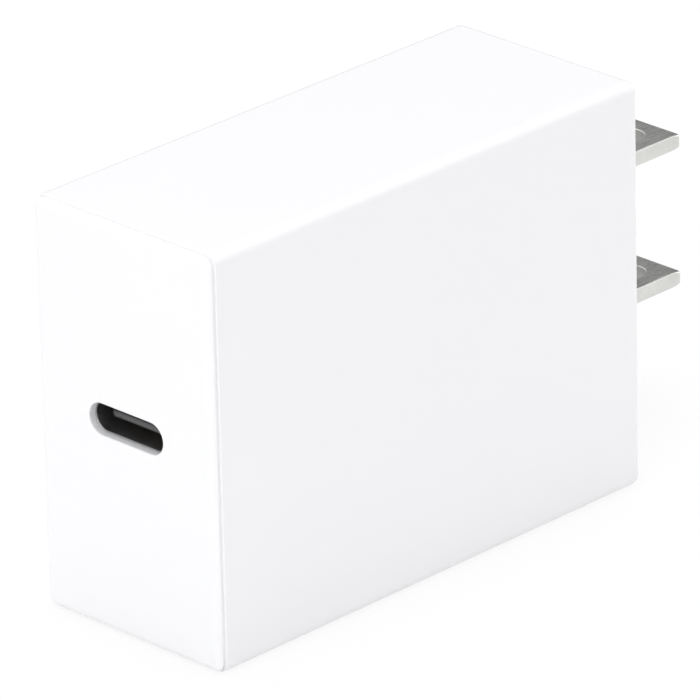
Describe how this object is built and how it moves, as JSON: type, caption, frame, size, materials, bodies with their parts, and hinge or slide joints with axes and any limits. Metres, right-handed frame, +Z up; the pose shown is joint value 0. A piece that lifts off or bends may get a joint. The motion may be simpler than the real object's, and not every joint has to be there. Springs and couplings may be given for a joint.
{
  "type": "laptop power adapter",
  "caption": "Compact wall-plug power adapter: an upright white block with flat plug blades at the rear and a USB-C outlet in the narrow front face.",
  "frame": {"origin": "on the ground under the middle of the whole object, blades included", "axes": "+Z up, +X from the port face to the plug blades, +Y across the thickness towards the side the blades are offset to"},
  "size_m": [0.0662, 0.0206, 0.0367],
  "materials": {
    "housing_plastic": "smooth semi-gloss white polycarbonate",
    "holder_plastic": "matt glass-filled nylon",
    "blade_metal": "nickel-plated brass, fine rolled grain",
    "copper": "bare copper",
    "circuit_board": "green solder mask",
    "receptacle_steel": "nickel-plated steel",
    "black_plastic": "black moulded nylon",
    "contact_metal": "gold flash",
    "ferrite": "dark grey ferrite",
    "bobbin_plastic": "phenolic",
    "winding_tape": "polyester tape",
    "tinned_wire": "tinned copper",
    "choke_coating": "green epoxy coat",
    "capacitor_sleeve": "dark sleeve",
    "capacitor_can": "satin can",
    "film_box": "moulded box",
    "ceramic_blue": "dipped coat",
    "fuse_body": "moulded box",
    "ceramic_green": "dipped coat",
    "silicone": "soft pad",
    "film": "thin polyester film"
  },
  "bodies": {
    "root": {"main_shell": "housing_plastic", "front_cap": "housing_plastic", "blade_holder": "holder_plastic", "upper_blade": "blade_metal", "lower_blade": "blade_metal", "blade_contacts": "copper", "main_board": "circuit_board", "port_board": "circuit_board", "port_shell": "receptacle_steel", "port_tongue": "black_plastic", "port_contacts": "contact_metal", "transformer_core": "ferrite", "transformer_bobbin": "bobbin_plastic", "transformer_winding": "winding_tape", "transformer_pins": "tinned_wire", "choke_core": "choke_coating", "choke_winding": "copper", "choke_base": "black_plastic", "bulk_capacitors": "capacitor_sleeve", "output_capacitors": "capacitor_can", "safety_capacitor": "film_box", "y_capacitor": "ceramic_blue", "fuse": "fuse_body", "thermistor": "ceramic_green", "optocoupler": "black_plastic", "bridge_rectifier": "black_plastic", "power_switch": "black_plastic", "rectifier_switch": "black_plastic", "input_controller": "black_plastic", "port_controller": "black_plastic", "heat_spreader": "copper", "thermal_pad": "silicone", "insulation_sheet": "film"}
  },
  "joints": []
}
